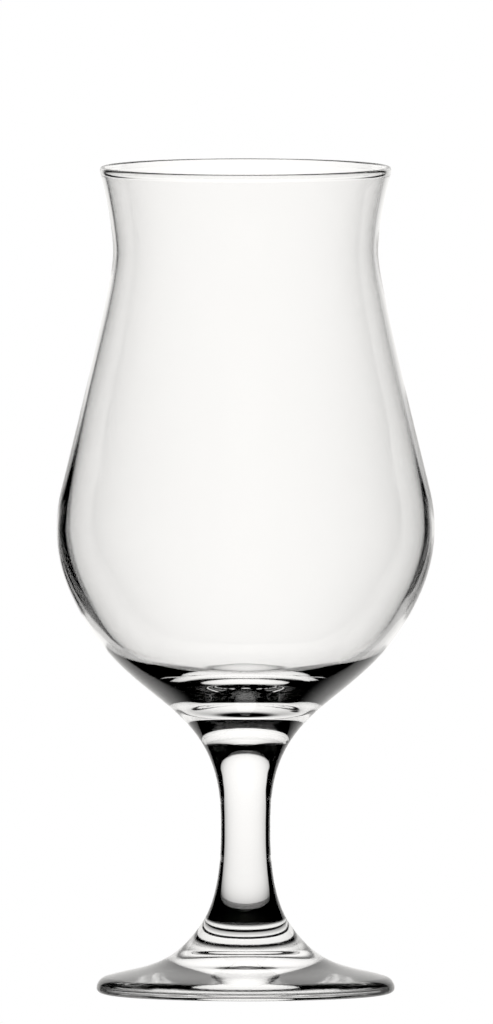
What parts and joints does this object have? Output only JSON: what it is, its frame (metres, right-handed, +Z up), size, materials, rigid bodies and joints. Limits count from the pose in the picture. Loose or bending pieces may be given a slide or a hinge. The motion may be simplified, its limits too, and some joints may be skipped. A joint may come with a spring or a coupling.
{
  "type": "stemmed beer glass",
  "caption": "Clear stemmed tulip beer glass: flared lip, drawn-in neck, full belly and thick base on a solid stem with a conical foot.",
  "frame": {"origin": "middle of the foot, on the table", "axes": "+Z up the axis of the glass to the rim; the glass is round, so X and Y are free"},
  "size_m": [0.0844, 0.0844, 0.185],
  "materials": {
    "clear_glass": "clear, fire polished"
  },
  "bodies": {
    "root": {"foot": "clear_glass", "stem": "clear_glass", "bowl": "clear_glass"}
  },
  "joints": []
}
